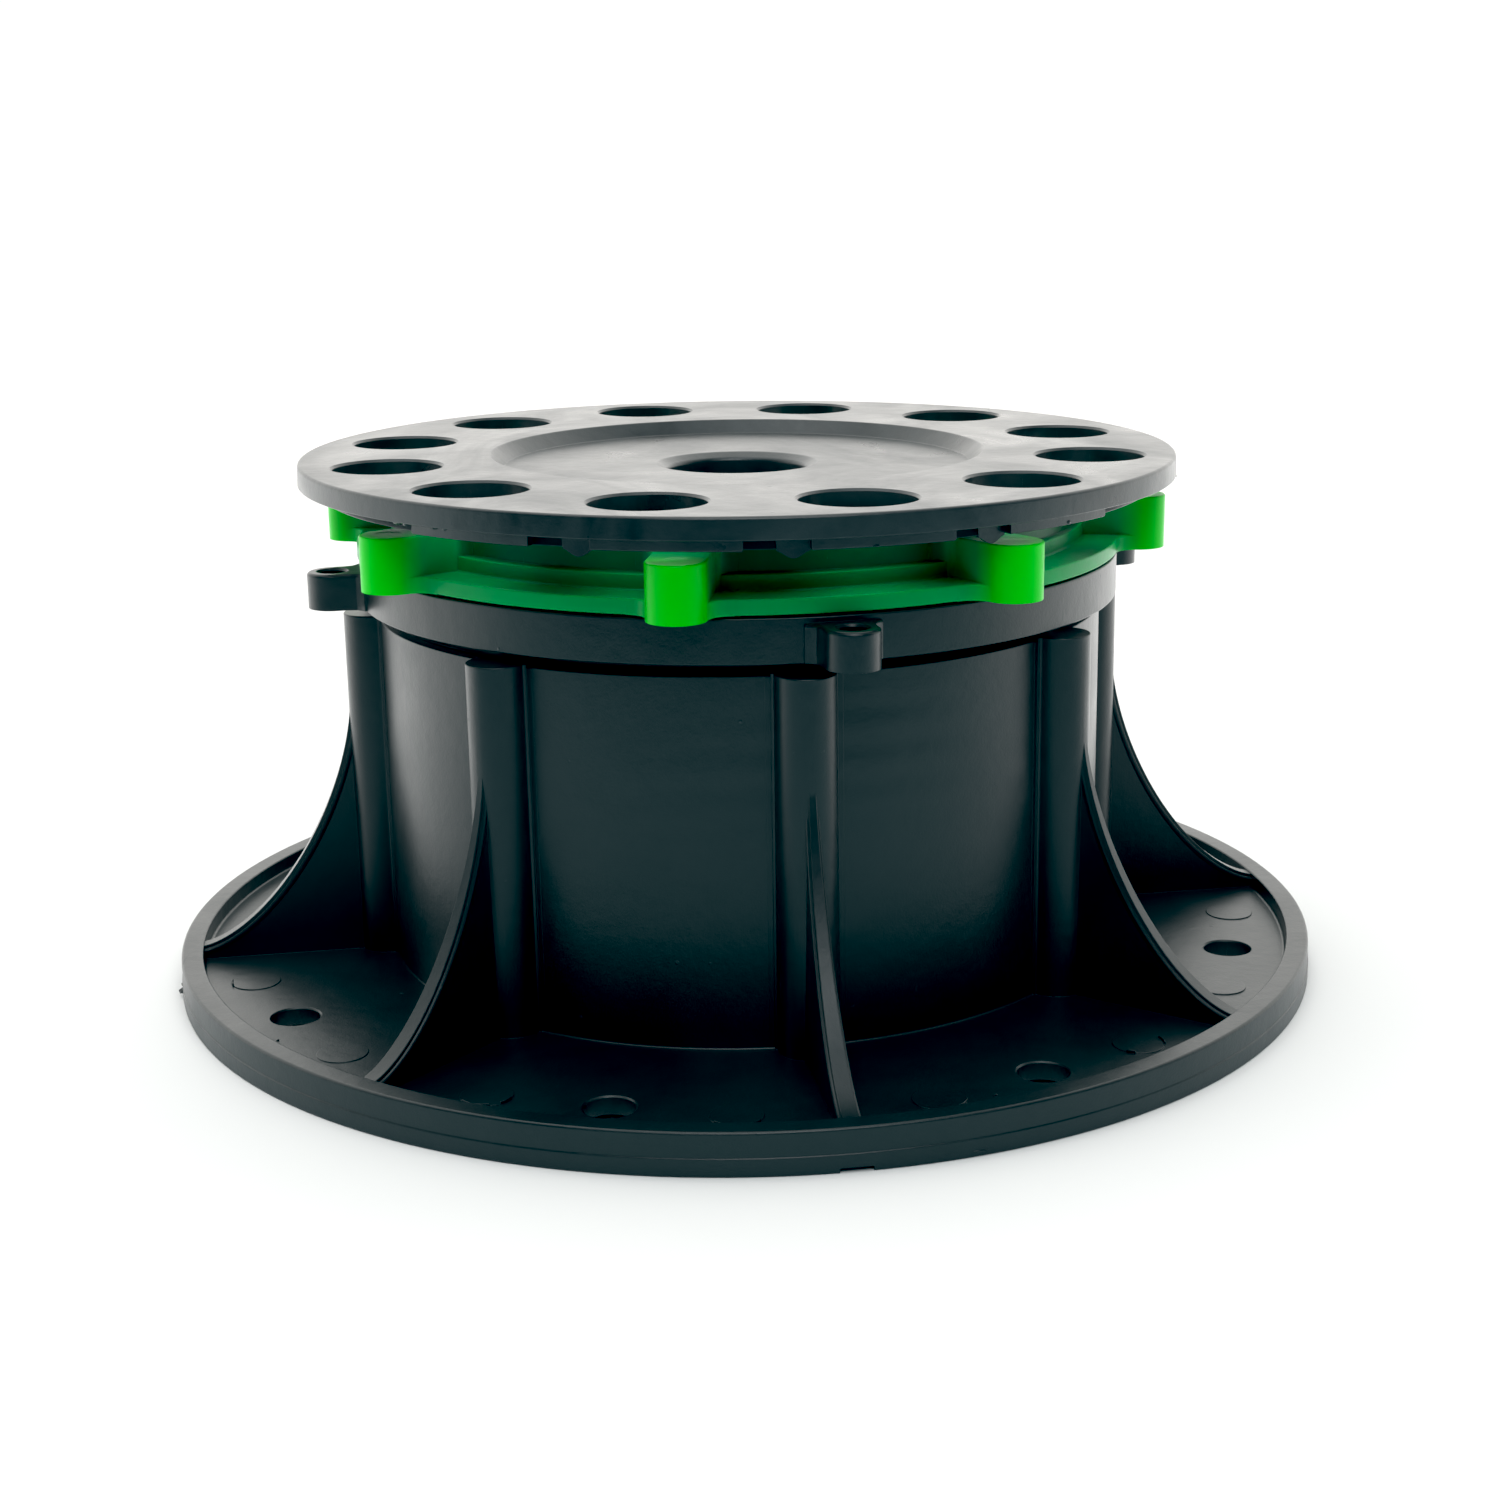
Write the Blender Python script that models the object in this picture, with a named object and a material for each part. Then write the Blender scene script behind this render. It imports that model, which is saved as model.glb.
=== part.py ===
"""Adjustable decking pedestal: base, threaded sleeve, adjusting ring and head plate.

Units are metres, +Z is up, the origin is the centre of the base's underside.
Pose: screwed fully down, as it stands on a bench.
Dimensions below are written in millimetres and scaled by MM.
"""
import math

import bmesh
import bpy
from mathutils import Matrix, Vector

MM = 0.001

# ---------------------------------------------------------------- dimensions
# base moulding
BASE_R = 100.0            # outer radius of the flange at the floor
BASE_R_TOP = 99.7        # rim above the small step in its side
RIM_H = 6.9               # height of the raised rim
RIM_IN = 96.2             # inner radius of the raised rim
FLOOR_Z = 4.2             # flange floor between the ribs
UNDER_Z = 1.2             # shallow recess under the flange
CYL_R = 63.0              # upright cylinder, outside
BORE_R = 60.6             # upright cylinder, bore
CYL_TOP = 65.0
INNER_FLOOR = 3.2
BASE_HOLE_R = 20.0        # opening in the middle of the base floor
COLS = 8                  # half-round columns, one behind each rib
COL_PHASE = -81.2         # degrees, angle of the first column and rib
COL_PCR = 64.2
COL_R = 4.73
COL_TOP = 66.0
RIB_T_FOOT = 3.2          # rib thickness at the floor
RIB_T_TOP = 1.5           # rib thickness where it meets the column
RIB_TOP = 48.0
RIB_END_Z = 5.4           # height of its edge where it runs into the rim
RIB_POWER = 1.62          # superellipse power of its concave edge
DRAIN_PCR = 86.7          # drain hole in each bay
DRAIN_R = 4.0
NOTCH_W = 5.0             # drainage notch under the rim
NOTCH_H = 0.8

# sleeve: collar on a threaded tube
SLEEVE_R = 59.8
SLEEVE_IN = 56.4
SLEEVE_BOT = 8.0
COLLAR_R = 66.3
COLLAR_BOT = 67.1
COLLAR_TOP = 73.8
LIP_R = 52.6              # inner lip that carries the ring
LIP_BOT = 70.4
SLUGS = 4
SLUG_PHASE = -76.1
SLUG_PCR = 70.9
SLUG_R = 4.1
SLUG_BOT = 66.7
SLUG_TOP = 72.8
SLUG_HOLE = 2.4
SLUG_HOLE_DEPTH = 4.6

# adjusting ring
RING_R = 66.0
RING_BOT = 74.1
RING_BAND = 76.7          # top of the outer flange
RING_MID_R = 60.0
RING_MID_TOP = 79.2
RING_WALL_R = 58.8
RING_TOP = 86.2
RING_WALL_IN = 56.4
RING_WEB = 77.6
RING_NUT_R = 54.0
RING_NUT_TOP = 84.4
RING_BORE = 51.6
RLUGS = 8
RLUG_PHASE = -97.7
RLUG_PCR = 69.1
RLUG_R = 4.63
RLUG_TOP = 83.1

# head
HEAD_R = 75.1
HEAD_TOP = 90.46
HEAD_RIM_BOT = 86.9
PLATE_UNDER = 87.7
DISH_R = 42.6             # dished centre, edge at the top face
DISH_FLOOR_R = 40.3
DISH_Z = 88.1
DISH_UNDER = 85.3
EYE_R = 11.7              # centre hole
BOSS_R = 13.6
BOSS_BOT = 82.5
STEM_R = 51.0
STEM_IN = 48.6
STEM_BOT = 14.0
HOLES = 12
HOLE_PHASE = 17.2
HOLE_PCR = 60.9
HOLE_R = 9.1
SKIRT_IN = 70.3
SKIRT_MID = 71.3
SKIRT_R = 72.7
SKIRT_BOT = 84.9          # hanging segments
HOOP_BOT = 84.7           # continuous hoop behind them
SEGS = 14
SEG_START = -107.35
SEG_ARC = 17.85
TOOTH_BOT = 83.55
TOOTH_HALF = 2.2          # degrees

ROUND = 72                # sides of the large turned surfaces


# ---------------------------------------------------------------- helpers
def clear_scene():
    for ob in list(bpy.data.objects):
        bpy.data.objects.remove(ob, do_unlink=True)


def material(name, colour, roughness):
    mat = bpy.data.materials.new(name)
    mat.use_nodes = True
    bsdf = mat.node_tree.nodes["Principled BSDF"]
    bsdf.inputs["Base Color"].default_value = (*colour, 1.0)
    bsdf.inputs["Roughness"].default_value = roughness
    bsdf.inputs["Metallic"].default_value = 0.0
    return mat


def polar(r, deg):
    a = math.radians(deg)
    return Vector((r * math.cos(a), r * math.sin(a)))


def object_from(bm, name):
    bmesh.ops.recalc_face_normals(bm, faces=bm.faces)
    mesh = bpy.data.meshes.new(name)
    bm.to_mesh(mesh)
    bm.free()
    ob = bpy.data.objects.new(name, mesh)
    bpy.context.scene.collection.objects.link(ob)
    return ob


def turned(name, profile, sides=ROUND, phase=0.0):
    """Closed ring solid: the closed (r, z) profile turned about Z."""
    bm = bmesh.new()
    loops = []
    for k in range(sides):
        a = phase + 360.0 * k / sides
        loop = []
        for r, z in profile:
            p = polar(r * MM, a)
            loop.append(bm.verts.new((p.x, p.y, z * MM)))
        loops.append(loop)
    n = len(profile)
    for k in range(sides):
        a, b = loops[k], loops[(k + 1) % sides]
        for i in range(n):
            j = (i + 1) % n
            bm.faces.new((a[i], b[i], b[j], a[j]))
    return object_from(bm, name)


def prism(name, outline, z0, z1):
    """Straight prism on a plan outline of (x, y) points, in millimetres."""
    bm = bmesh.new()
    low = [bm.verts.new((x * MM, y * MM, z0 * MM)) for x, y in outline]
    high = [bm.verts.new((x * MM, y * MM, z1 * MM)) for x, y in outline]
    bm.faces.new(low)
    bm.faces.new(high)
    n = len(outline)
    for i in range(n):
        j = (i + 1) % n
        bm.faces.new((low[i], low[j], high[j], high[i]))
    return object_from(bm, name)


def disc_outline(cx, cy, r, sides, phase=0.0):
    return [(cx + r * math.cos(math.radians(phase + 360.0 * k / sides)),
             cy + r * math.sin(math.radians(phase + 360.0 * k / sides))) for k in range(sides)]


def sector_outline(r0, r1, a0, a1, steps):
    pts = [tuple(polar(r1, a0 + (a1 - a0) * i / steps)) for i in range(steps + 1)]
    pts += [tuple(polar(r0, a1 + (a0 - a1) * i / steps)) for i in range(steps + 1)]
    return pts


def turn_outline(outline, deg):
    c, s = math.cos(math.radians(deg)), math.sin(math.radians(deg))
    return [(x * c - y * s, x * s + y * c) for x, y in outline]


def combine(target, tools, operation):
    """Apply exact Booleans one after another and drop the tools."""
    for tool in tools:
        mod = target.modifiers.new("cut", "BOOLEAN")
        mod.operation = operation
        mod.solver = "EXACT"
        mod.object = tool
    graph = bpy.context.evaluated_depsgraph_get()
    mesh = bpy.data.meshes.new_from_object(target.evaluated_get(graph))
    target.modifiers.clear()
    target.data = mesh
    for tool in tools:
        bpy.data.objects.remove(tool, do_unlink=True)
    return target


def joined(name, outlines, z0, z1):
    """Several separate prisms of one height in one object."""
    bm = bmesh.new()
    for outline in outlines:
        low = [bm.verts.new((x * MM, y * MM, z0 * MM)) for x, y in outline]
        high = [bm.verts.new((x * MM, y * MM, z1 * MM)) for x, y in outline]
        bm.faces.new(low)
        bm.faces.new(high)
        n = len(outline)
        for i in range(n):
            j = (i + 1) % n
            bm.faces.new((low[i], low[j], high[j], high[i]))
    return object_from(bm, name)


def finish(ob, mat):
    bm = bmesh.new()
    bm.from_mesh(ob.data)
    bmesh.ops.remove_doubles(bm, verts=bm.verts, dist=2e-7)
    bmesh.ops.dissolve_limit(bm, angle_limit=math.radians(0.05), verts=bm.verts, edges=bm.edges)
    bmesh.ops.triangulate(bm, faces=bm.faces)
    bmesh.ops.recalc_face_normals(bm, faces=bm.faces)
    bm.to_mesh(ob.data)
    bm.free()
    ob.data.materials.clear()
    ob.data.materials.append(mat)
    ob.data.shade_smooth()
    ob.data.set_sharp_from_angle(angle=math.radians(30))
    return ob


# ---------------------------------------------------------------- base
def rib_curve():
    """Concave outer edge of a gusset rib, (r, z) from the column to the rim.

    A superellipse arc, steep beside the column and nearly flat beside the rim.
    """
    r0, z0, r1, z1 = COL_PCR + COL_R - 0.3, RIB_TOP, RIM_IN + 0.6, RIB_END_Z
    power = RIB_POWER
    pts = []
    steps = 10
    for i in range(steps + 1):
        t = math.radians(90.0) * i / steps
        u = 1.0 - math.cos(t) ** (2.0 / power)
        v = 1.0 - math.sin(t) ** (2.0 / power)
        pts.append((r0 + (r1 - r0) * u, z1 + (z0 - z1) * v))
    return pts


def rib_solid(name, deg):
    curve = rib_curve()
    profile = [(CYL_R - 0.9, FLOOR_Z - 0.5), (CYL_R - 0.9, RIB_TOP + 1.2),
               (COL_PCR + COL_R - 1.2, RIB_TOP + 1.2)] + curve + [(RIM_IN + 0.6, FLOOR_Z - 0.5)]
    bm = bmesh.new()
    rad = polar(1.0, deg)
    tan = Vector((-rad.y, rad.x))
    sides = []
    for s in (-1.0, 1.0):
        loop = []
        for r, z in profile:
            t = RIB_T_FOOT + (RIB_T_TOP - RIB_T_FOOT) * (z - FLOOR_Z) / (RIB_TOP - FLOOR_Z)
            p = rad * r + tan * (s * t / 2.0)
            loop.append(bm.verts.new((p.x * MM, p.y * MM, z * MM)))
        sides.append(loop)
    bm.faces.new(sides[0])
    bm.faces.new(sides[1])
    n = len(profile)
    for i in range(n):
        j = (i + 1) % n
        bm.faces.new((sides[0][i], sides[0][j], sides[1][j], sides[1][i]))
    return object_from(bm, name)


def make_base(mat):
    body = turned("base", [
        (BASE_R, 0.0), (BASE_R, 2.9), (BASE_R_TOP, 3.2), (BASE_R_TOP, RIM_H - 0.4),
        (BASE_R_TOP - 0.4, RIM_H), (RIM_IN + 0.3, RIM_H), (RIM_IN, RIM_H - 0.3),
        (RIM_IN, FLOOR_Z), (CYL_R, FLOOR_Z), (CYL_R, CYL_TOP - 0.3), (CYL_R - 0.3, CYL_TOP),
        (BORE_R - 0.8, CYL_TOP), (BORE_R - 0.8, INNER_FLOOR), (BASE_HOLE_R, INNER_FLOOR),
        (BASE_HOLE_R, 0.0), (BASE_HOLE_R + 4.0, 0.0), (BASE_HOLE_R + 4.0, UNDER_Z),
        (56.0, UNDER_Z), (56.0, 0.0), (68.0, 0.0), (68.0, UNDER_Z), (94.0, UNDER_Z), (94.0, 0.0)])
    columns = []
    for k in range(COLS):
        c = polar(COL_PCR, COL_PHASE + 360.0 * k / COLS)
        columns.append(disc_outline(c.x, c.y, COL_R, 16, COL_PHASE))
    combine(body, [joined("columns", columns, FLOOR_Z - 0.5, COL_TOP)], "UNION")
    for k in range(COLS):
        combine(body, [rib_solid("rib", COL_PHASE + 360.0 * k / COLS)], "UNION")
    bore = prism("bore", disc_outline(0, 0, BORE_R, ROUND), INNER_FLOOR + 0.0, COL_TOP + 5.0)
    combine(body, [bore], "DIFFERENCE")
    drains = []
    for k in range(COLS):
        c = polar(DRAIN_PCR, COL_PHASE + 360.0 * (k + 0.5) / COLS)
        drains.append(disc_outline(c.x, c.y, DRAIN_R, 16))
    combine(body, [joined("drains", drains, -1.0, FLOOR_Z + 1.0)], "DIFFERENCE")
    for k in range(COLS // 2):
        bar = turn_outline([(-105.0, -NOTCH_W / 2), (105.0, -NOTCH_W / 2),
                            (105.0, NOTCH_W / 2), (-105.0, NOTCH_W / 2)], COL_PHASE + 360.0 * k / COLS)
        combine(body, [prism("notch", bar, -1.0, NOTCH_H)], "DIFFERENCE")
    return finish(body, mat)


# ---------------------------------------------------------------- sleeve
def make_sleeve(mat):
    body = turned("sleeve", [
        (SLEEVE_R - 0.4, SLEEVE_BOT), (SLEEVE_R, SLEEVE_BOT + 0.6), (SLEEVE_R, COLLAR_BOT),
        (COLLAR_R - 0.3, COLLAR_BOT), (COLLAR_R, COLLAR_BOT + 0.3), (COLLAR_R, COLLAR_TOP - 0.3),
        (COLLAR_R - 0.3, COLLAR_TOP), (LIP_R, COLLAR_TOP), (LIP_R, LIP_BOT),
        (SLEEVE_IN, LIP_BOT), (SLEEVE_IN, SLEEVE_BOT)])
    lug = [(COLLAR_R - 2.5, -4.3), (COLLAR_R + 0.2, -4.2)]
    lug += [(SLUG_PCR + SLUG_R * math.sin(math.radians(a)), -SLUG_R * math.cos(math.radians(a)))
            for a in range(0, 181, 20)]
    lug += [(COLLAR_R + 0.2, 4.2), (COLLAR_R - 2.5, 4.3)]
    lugs, holes = [], []
    for k in range(SLUGS):
        a = SLUG_PHASE + 360.0 * k / SLUGS
        lugs.append(turn_outline(lug, a))
        c = polar(SLUG_PCR, a)
        holes.append(disc_outline(c.x, c.y, SLUG_HOLE, 12))
    combine(body, [joined("lugs", lugs, SLUG_BOT, SLUG_TOP)], "UNION")
    combine(body, [joined("lug_holes", holes, SLUG_TOP - SLUG_HOLE_DEPTH, SLUG_TOP + 1.0)], "DIFFERENCE")
    return finish(body, mat)


# ---------------------------------------------------------------- adjusting ring
def lug_outline(neck, flare, base):
    """Plan of a finger lug pointing along +X: round end, straight neck, concave flares."""
    pts = []
    for i in range(4):
        t = math.radians(90.0 * i / 3)
        pts.append((base + flare * (1 - math.cos(t)) * 1.0, -(neck + flare * (1 - math.sin(t)))))
    half = [(RLUG_PCR + RLUG_R * math.sin(math.radians(a)), -RLUG_R * math.cos(math.radians(a)))
            for a in range(0, 91, 18)]
    side = pts + half
    inner = base - 1.6
    outline = [(inner, side[0][1])] + side
    outline += [(x, -y) for x, y in reversed(side[:-1])] + [(inner, -side[0][1])]
    return outline


def make_ring(mat):
    body = turned("adjusting_ring", [
        (RING_R, RING_BOT), (RING_R, RING_BAND - 0.2), (RING_R - 0.2, RING_BAND),
        (RING_MID_R, RING_BAND), (RING_MID_R, RING_MID_TOP), (RING_WALL_R, RING_MID_TOP + 0.4),
        (RING_WALL_R, RING_TOP), (RING_WALL_IN, RING_TOP), (RING_WALL_IN, RING_WEB),
        (RING_NUT_R, RING_WEB), (RING_NUT_R, RING_NUT_TOP), (RING_BORE, RING_NUT_TOP),
        (RING_BORE, RING_BOT)])
    tall = lug_outline(RLUG_R, 3.2, RING_WALL_R - 0.4)
    foot = lug_outline(RLUG_R, 3.6, RING_R - 0.5)
    combine(body, [joined("tall_lugs", [turn_outline(tall, RLUG_PHASE + 360.0 * k / RLUGS)
                                        for k in range(RLUGS)], RING_BOT, RLUG_TOP)], "UNION")
    combine(body, [joined("lug_feet", [turn_outline(foot, RLUG_PHASE + 360.0 * k / RLUGS)
                                       for k in range(RLUGS)], RING_BOT, RING_BAND)], "UNION")
    return finish(body, mat)


# ---------------------------------------------------------------- head
def make_head(mat):
    body = turned("head", [
        (HEAD_R - 0.3, HEAD_RIM_BOT), (HEAD_R, HEAD_TOP - 0.5), (HEAD_R - 0.5, HEAD_TOP),
        (DISH_R, HEAD_TOP), (DISH_FLOOR_R, DISH_Z), (EYE_R + 1.6, DISH_Z), (EYE_R + 0.5, DISH_Z - 0.4),
        (EYE_R, DISH_Z - 1.4), (EYE_R, BOSS_BOT), (BOSS_R, BOSS_BOT), (BOSS_R, DISH_UNDER),
        (STEM_IN, DISH_UNDER), (STEM_IN, STEM_BOT), (STEM_R, STEM_BOT), (STEM_R, PLATE_UNDER),
        (SKIRT_IN, PLATE_UNDER), (SKIRT_IN, HOOP_BOT), (SKIRT_MID, HOOP_BOT), (SKIRT_MID, HEAD_RIM_BOT)])
    segs = [sector_outline(SKIRT_MID - 0.5, SKIRT_R, SEG_START + 360.0 * k / SEGS,
                           SEG_START + 360.0 * k / SEGS + SEG_ARC, 4) for k in range(SEGS)]
    combine(body, [joined("skirt", segs, SKIRT_BOT, HEAD_RIM_BOT + 0.5)], "UNION")
    for k in range(SEGS):
        # small V tooth under the hoop, beside the start of each segment
        a = SEG_START - 1.9 + 360.0 * k / SEGS
        bm = bmesh.new()
        faces = []
        for r in (SKIRT_IN + 0.15, SKIRT_MID - 0.15):
            loop = []
            for da, z in ((-TOOTH_HALF, HOOP_BOT + 0.3), (TOOTH_HALF, HOOP_BOT + 0.3),
                          (TOOTH_HALF * 0.9, HOOP_BOT), (0.35, TOOTH_BOT), (-0.35, TOOTH_BOT),
                          (-TOOTH_HALF * 0.9, HOOP_BOT)):
                p = polar(r, a + da)
                loop.append(bm.verts.new((p.x * MM, p.y * MM, z * MM)))
            faces.append(loop)
        bm.faces.new(faces[0])
        bm.faces.new(faces[1])
        n = len(faces[0])
        for i in range(n):
            j = (i + 1) % n
            bm.faces.new((faces[0][i], faces[0][j], faces[1][j], faces[1][i]))
        combine(body, [object_from(bm, "tooth")], "UNION")
    holes = []
    for k in range(HOLES):
        c = polar(HOLE_PCR, HOLE_PHASE + 360.0 * k / HOLES)
        holes.append(disc_outline(c.x, c.y, HOLE_R, 24, HOLE_PHASE + 360.0 * k / HOLES))
    combine(body, [joined("holes", holes, PLATE_UNDER - 1.0, HEAD_TOP + 1.0)], "DIFFERENCE")
    return finish(body, mat)


def main():
    clear_scene()
    black = material("black_polypropylene", (0.020, 0.023, 0.024), 0.42)
    green = material("green_polypropylene", (0.004, 0.33, 0.012), 0.35)
    make_base(black)
    make_sleeve(black)
    make_ring(green)
    make_head(black)


main()
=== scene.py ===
"""Looks of the adjustable decking pedestal: moulded black and green plastic on a pale floor.

Lengths in the helpers are millimetres; meshes are written in metres around the screw axis.
"""

import math
import random

import bmesh
import bpy
from mathutils import Matrix, Vector


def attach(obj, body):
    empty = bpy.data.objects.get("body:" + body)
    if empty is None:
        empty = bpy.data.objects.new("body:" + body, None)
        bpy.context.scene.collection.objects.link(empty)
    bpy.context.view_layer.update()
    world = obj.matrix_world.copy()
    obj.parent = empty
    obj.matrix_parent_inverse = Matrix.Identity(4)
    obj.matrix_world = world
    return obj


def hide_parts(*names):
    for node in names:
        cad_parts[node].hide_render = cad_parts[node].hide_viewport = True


MM = 0.001
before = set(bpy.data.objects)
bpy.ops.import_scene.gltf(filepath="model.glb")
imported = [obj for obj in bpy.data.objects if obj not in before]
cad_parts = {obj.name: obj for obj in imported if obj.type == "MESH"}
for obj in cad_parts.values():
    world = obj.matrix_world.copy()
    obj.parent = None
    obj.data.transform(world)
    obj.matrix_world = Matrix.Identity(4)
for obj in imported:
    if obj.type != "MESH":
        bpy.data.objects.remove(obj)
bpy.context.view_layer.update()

ROUND = 192               # sides of the large turned surfaces


# ---------------------------------------------------------------- plan and profile helpers
def polar(r, deg):
    a = math.radians(deg)
    return (r * math.cos(a), r * math.sin(a))


def turn(outline, deg):
    c, s = math.cos(math.radians(deg)), math.sin(math.radians(deg))
    return [(x * c - y * s, x * s + y * c) for x, y in outline]


def rounded(points, steps=3):
    """Closed outline with a radius on each corner that gives one as a third number."""
    out = []
    n = len(points)
    for i, p in enumerate(points):
        rad = p[2] if len(p) > 2 else 0.0
        b = Vector(p[:2])
        if not rad:
            out.append((b.x, b.y))
            continue
        a, c = Vector(points[i - 1][:2]), Vector(points[(i + 1) % n][:2])
        u, v = (a - b), (c - b)
        lu, lv = u.length, v.length
        u, v = u / lu, v / lv
        half = u.angle(v) / 2.0
        d = min(rad / math.tan(half), 0.47 * lu, 0.47 * lv)
        r = d * math.tan(half)
        mid = b + (u + v).normalized() * (r / math.sin(half))
        p0, p1 = b + u * d, b + v * d
        a0 = math.atan2(p0.y - mid.y, p0.x - mid.x)
        a1 = math.atan2(p1.y - mid.y, p1.x - mid.x)
        while a1 - a0 > math.pi:
            a1 -= 2.0 * math.pi
        while a1 - a0 < -math.pi:
            a1 += 2.0 * math.pi
        for k in range(steps + 1):
            t = a0 + (a1 - a0) * k / steps
            out.append((mid.x + r * math.cos(t), mid.y + r * math.sin(t)))
    return out


def inset(outline, d):
    """Anticlockwise plan outline moved inwards by d."""
    n = len(outline)
    out = []
    for i, (x, y) in enumerate(outline):
        ax, ay = outline[i - 1]
        bx, by = outline[(i + 1) % n]
        l1 = math.hypot(x - ax, y - ay) or 1e-9
        l2 = math.hypot(bx - x, by - y) or 1e-9
        n1 = ((y - ay) / l1, -(x - ax) / l1)
        n2 = ((by - y) / l2, -(bx - x) / l2)
        k = d / max(0.5, 1.0 + n1[0] * n2[0] + n1[1] * n2[1])
        out.append((x - (n1[0] + n2[0]) * k, y - (n1[1] + n2[1]) * k))
    return out


def disc(cx, cy, r, sides, phase=0.0):
    return [(cx + r * math.cos(math.radians(phase + 360.0 * k / sides)),
             cy + r * math.sin(math.radians(phase + 360.0 * k / sides))) for k in range(sides)]


def sector(r0, r1, a0, a1, steps):
    pts = [polar(r1, a0 + (a1 - a0) * i / steps) for i in range(steps + 1)]
    pts += [polar(r0, a1 + (a0 - a1) * i / steps) for i in range(steps + 1)]
    return pts


# ---------------------------------------------------------------- mesh helpers
def object_from(bm, name):
    bmesh.ops.recalc_face_normals(bm, faces=bm.faces)
    mesh = bpy.data.meshes.new(name)
    bm.to_mesh(mesh)
    bm.free()
    ob = bpy.data.objects.new(name, mesh)
    bpy.context.scene.collection.objects.link(ob)
    return ob


def add_loft(bm, loops, caps=True, wrap=False):
    """Closed skin through rings of (x, y, z) points, in millimetres."""
    rings = [[bm.verts.new((x * MM, y * MM, z * MM)) for x, y, z in loop] for loop in loops]
    n = len(rings[0])
    last = len(rings) if wrap else len(rings) - 1
    for k in range(last):
        a, b = rings[k], rings[(k + 1) % len(rings)]
        for i in range(n):
            j = (i + 1) % n
            bm.faces.new((a[i], a[j], b[j], b[i]))
    if caps and not wrap:
        bm.faces.new(rings[0])
        bm.faces.new(rings[-1])


def turned(name, profile, sides=ROUND, centre=(0.0, 0.0), phase=0.0):
    bm = bmesh.new()
    add_turned(bm, profile, sides, centre, phase)
    return object_from(bm, name)


def add_turned(bm, profile, sides, centre=(0.0, 0.0), phase=0.0):
    loops = []
    for k in range(sides):
        c, s = polar(1.0, phase + 360.0 * k / sides)
        loops.append([(centre[0] + r * c, centre[1] + r * s, z) for r, z in profile])
    add_loft(bm, loops, wrap=True)


def add_boss(bm, outline, z0, z1, edge=0.4, steps=3, draft=0.0):
    """Prism with a rounded upper edge; draft widens it downwards."""
    loops = []
    low = inset(outline, -draft) if draft else outline
    loops.append([(x, y, z0) for x, y in low])
    if edge:
        for i in range(steps + 1):
            t = math.radians(90.0 * i / steps)
            ring = inset(outline, edge * (1.0 - math.cos(t)))
            z = z1 - edge + edge * math.sin(t)
            loops.append([(x, y, z) for x, y in ring])
    else:
        loops.append([(x, y, z1) for x, y in outline])
    add_loft(bm, loops)


def bosses(name, outlines, z0, z1, edge=0.4, steps=3, draft=0.0):
    bm = bmesh.new()
    for outline in outlines:
        add_boss(bm, outline, z0, z1, edge, steps, draft)
    return object_from(bm, name)


def combine(target, tool, operation):
    mod = target.modifiers.new("cut", "BOOLEAN")
    mod.operation = operation
    mod.solver = "EXACT"
    mod.object = tool
    graph = bpy.context.evaluated_depsgraph_get()
    mesh = bpy.data.meshes.new_from_object(target.evaluated_get(graph))
    target.modifiers.clear()
    target.data = mesh
    bpy.data.objects.remove(tool, do_unlink=True)
    return target


def thread(name, root, crest, z0, z1, pitch, width_root, width_crest, steps=96, sink=0.35, fade=25.0):
    """Right-hand helical ridge between z0 and z1, tapering out at both ends.

    crest < root gives the cutter for a groove in a bore.
    """
    turns = (z1 - z0) / pitch
    count = int(turns * steps)
    sign = 1.0 if crest > root else -1.0
    loops = []
    for k in range(count + 1):
        a = 360.0 * turns * k / count
        z = z0 + (z1 - z0) * k / count
        edge = min(a, 360.0 * turns - a) / fade
        f = max(0.0, min(1.0, edge))
        top = root + (crest - root) * f - (1.0 - f) * sign * 0.12
        c, s = polar(1.0, a)
        base = root - sign * sink
        wr, wc = width_root / 2.0 + 0.1, width_crest / 2.0
        loops.append([(base * c, base * s, z - wr), (top * c, top * s, z - wc),
                      (top * c, top * s, z + wc), (base * c, base * s, z + wr)])
    bm = bmesh.new()
    add_loft(bm, loops)
    return object_from(bm, name)


def finish_mesh(ob, angle=32.0):
    bm = bmesh.new()
    bm.from_mesh(ob.data)
    bmesh.ops.remove_doubles(bm, verts=bm.verts, dist=1e-6)
    bmesh.ops.dissolve_degenerate(bm, dist=1e-6, edges=bm.edges)
    bmesh.ops.recalc_face_normals(bm, faces=bm.faces)
    bm.to_mesh(ob.data)
    bm.free()
    ob.data.shade_smooth()
    ob.data.set_sharp_from_angle(angle=math.radians(angle))
    mod = ob.modifiers.new("normals", "WEIGHTED_NORMAL")
    mod.mode = "FACE_AREA"
    mod.weight = 50
    mod.keep_sharp = True
    return ob


def burrs(name, rows, seed=5):
    """Small torn lumps left by moulding: (angle, r, z, radial, tangential and upright half size)."""
    rng = random.Random(seed)
    bm = bmesh.new()
    for deg, r, z, sr, st, sz in rows:
        made = bmesh.ops.create_icosphere(bm, subdivisions=2, radius=1.0)["verts"]
        c, s = polar(1.0, deg)
        for v in made:
            k = rng.uniform(0.72, 1.15)
            dr, dt, dz = v.co.x * sr * k, v.co.y * st * k, v.co.z * sz * k
            v.co = Vector(((r + dr) * c - dt * s, (r + dr) * s + dt * c, z + dz)) * MM
    return object_from(bm, name)


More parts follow.
